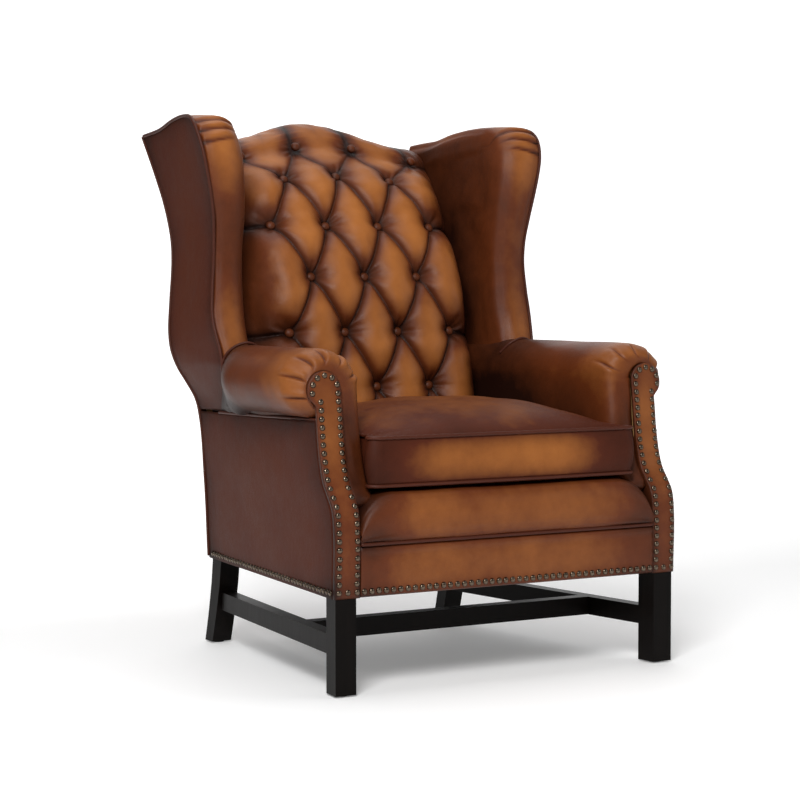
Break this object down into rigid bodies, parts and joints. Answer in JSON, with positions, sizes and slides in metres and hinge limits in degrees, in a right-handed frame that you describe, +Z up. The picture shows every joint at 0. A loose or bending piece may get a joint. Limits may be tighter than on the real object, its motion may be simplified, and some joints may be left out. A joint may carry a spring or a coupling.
{
  "type": "upholstered armchair",
  "caption": "High-backed wing armchair in buttoned antique leather, with rolled arms, a loose box cushion, nailed edges and square legs joined by stretchers.",
  "frame": {"origin": "centre of the chair's footprint box on the floor", "axes": "+X to the viewer's right seen from the front, the chair's front faces -Y, +Y to its back, +Z up"},
  "size_m": [0.8992, 0.945, 1.145],
  "materials": {
    "leather": "satin",
    "dark_leather": "satin",
    "welt_leather": "satin",
    "dark_wood": "satin",
    "frame_wood": "matte",
    "glide_plastic": "matte",
    "steel": "brushed",
    "webbing": "matte",
    "foam": "matte",
    "deck_cloth": "matte",
    "zip": "matte",
    "nail_brass": "antique satin"
  },
  "bodies": {
    "chair": {"front_leg_left": "dark_wood", "front_leg_right": "dark_wood", "rear_leg_left": "dark_wood", "rear_leg_right": "dark_wood", "side_stretcher_left": "dark_wood", "side_stretcher_right": "dark_wood", "cross_stretcher": "dark_wood", "foot_glides": "glide_plastic", "front_rail": "frame_wood", "rear_rail": "frame_wood", "side_rail_left": "frame_wood", "side_rail_right": "frame_wood", "corner_blocks": "frame_wood", "corner_screws": "steel", "back_post_left": "frame_wood", "back_post_right": "frame_wood", "arm_post_left": "frame_wood", "arm_post_right": "frame_wood", "arm_rail_left": "frame_wood", "arm_rail_right": "frame_wood", "wing_post_left": "frame_wood", "wing_post_right": "frame_wood", "wing_top_rail_left": "frame_wood", "wing_top_rail_right": "frame_wood", "crest_rail": "frame_wood", "lower_back_rail": "frame_wood", "back_webbing": "webbing", "seat_springs": "steel", "spring_clips": "steel", "seat_foam": "foam", "seat_deck": "deck_cloth", "dust_cover": "deck_cloth", "back_pad": "leather", "back_buttons": "leather", "wing_pad_left": "leather", "wing_pad_right": "leather", "arm_pad_left": "leather", "arm_pad_right": "leather", "arm_facing_left": "leather", "arm_facing_right": "leather", "outside_wing_left": "dark_leather", "outside_wing_right": "dark_leather", "outside_arm_left": "dark_leather", "outside_arm_right": "dark_leather", "outside_back": "dark_leather", "front_border": "leather", "seat_lip": "leather", "wing_welt_left": "welt_leather", "wing_welt_right": "welt_leather", "arm_welt_left": "welt_leather", "arm_welt_right": "welt_leather", "front_welt": "welt_leather", "border_nails": "nail_brass", "facing_nail_rows": "nail_brass", "rear_nails": "nail_brass"},
    "seat_cushion": {"cushion_cover": "leather", "cushion_core": "foam", "cushion_welt_top": "welt_leather", "cushion_welt_bottom": "welt_leather", "cushion_zip": "zip"}
  },
  "joints": [
    {"name": "cushion_lift", "type": "slide", "parent": "chair", "child": "seat_cushion", "axis": [0, 0, 1], "range_m": [0, 0.3]}
  ]
}
